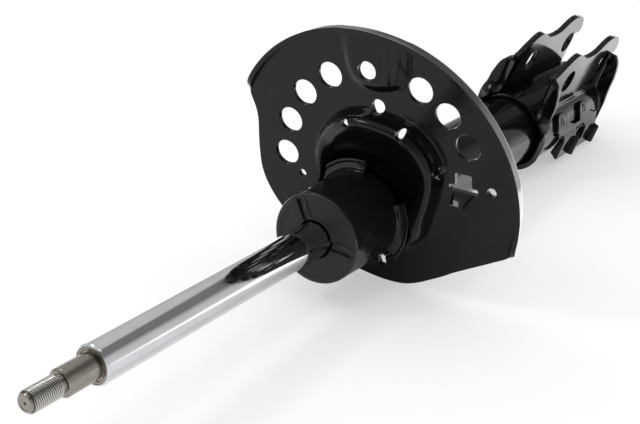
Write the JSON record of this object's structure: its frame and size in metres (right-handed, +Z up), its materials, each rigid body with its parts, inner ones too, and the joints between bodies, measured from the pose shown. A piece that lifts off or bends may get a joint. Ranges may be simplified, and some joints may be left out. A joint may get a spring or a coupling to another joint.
{
  "type": "suspension strut",
  "caption": "Telescopic suspension strut with a chromed rod, an offset pressed spring seat, a dust cap and a two-ear clamp bracket.",
  "frame": {"origin": "centre of the bounding box's bottom face, on the surface that the strut lies on", "axes": "+X runs along the strut towards the rod's thread and +Z is up; the strut's own axis rises 2.4 degrees towards +X, and the bracket's ears lean 20 degrees from +Z towards +Y"},
  "size_m": [0.6008, 0.187, 0.1666],
  "materials": {
    "black_paint": "gloss",
    "cap_plastic": "matte",
    "rod_chrome": "polished",
    "bright_steel": "satin",
    "sintered_iron": "matte",
    "bronze": "satin",
    "seal_rubber": "matte"
  },
  "bodies": {
    "housing": {"outer_tube": "black_paint", "base_cap": "black_paint", "knuckle_bracket": "black_paint", "hose_bracket": "black_paint", "spring_seat": "black_paint", "dust_cap": "cap_plastic", "retainer_ring": "bright_steel", "oil_seal": "seal_rubber", "rod_guide": "sintered_iron", "guide_bush": "bronze", "pressure_tube": "bright_steel", "base_valve_body": "sintered_iron", "intake_disc": "bright_steel", "valve_pin": "bright_steel"},
    "carrier": {"piston_band": "bronze"},
    "rod": {"piston_rod": "rod_chrome", "rebound_rubber": "seal_rubber", "rebound_ring": "bright_steel", "piston": "sintered_iron", "rebound_shims": "bright_steel", "check_disc": "bright_steel", "piston_nut": "bright_steel"}
  },
  "joints": [
    {"name": "rod_slide", "type": "slide", "parent": "housing", "child": "carrier", "axis": [0.9991, 0, 0.0425], "range_m": [-0.165, 0], "stiffness_N_per_m": 300, "springref_m": 0.5},
    {"name": "rod_turn", "type": "hinge", "parent": "carrier", "child": "rod", "pos_m": [-0.0133, -0.01779, 0.0411], "axis": [0.9991, 0, 0.0425], "continuous": true}
  ]
}
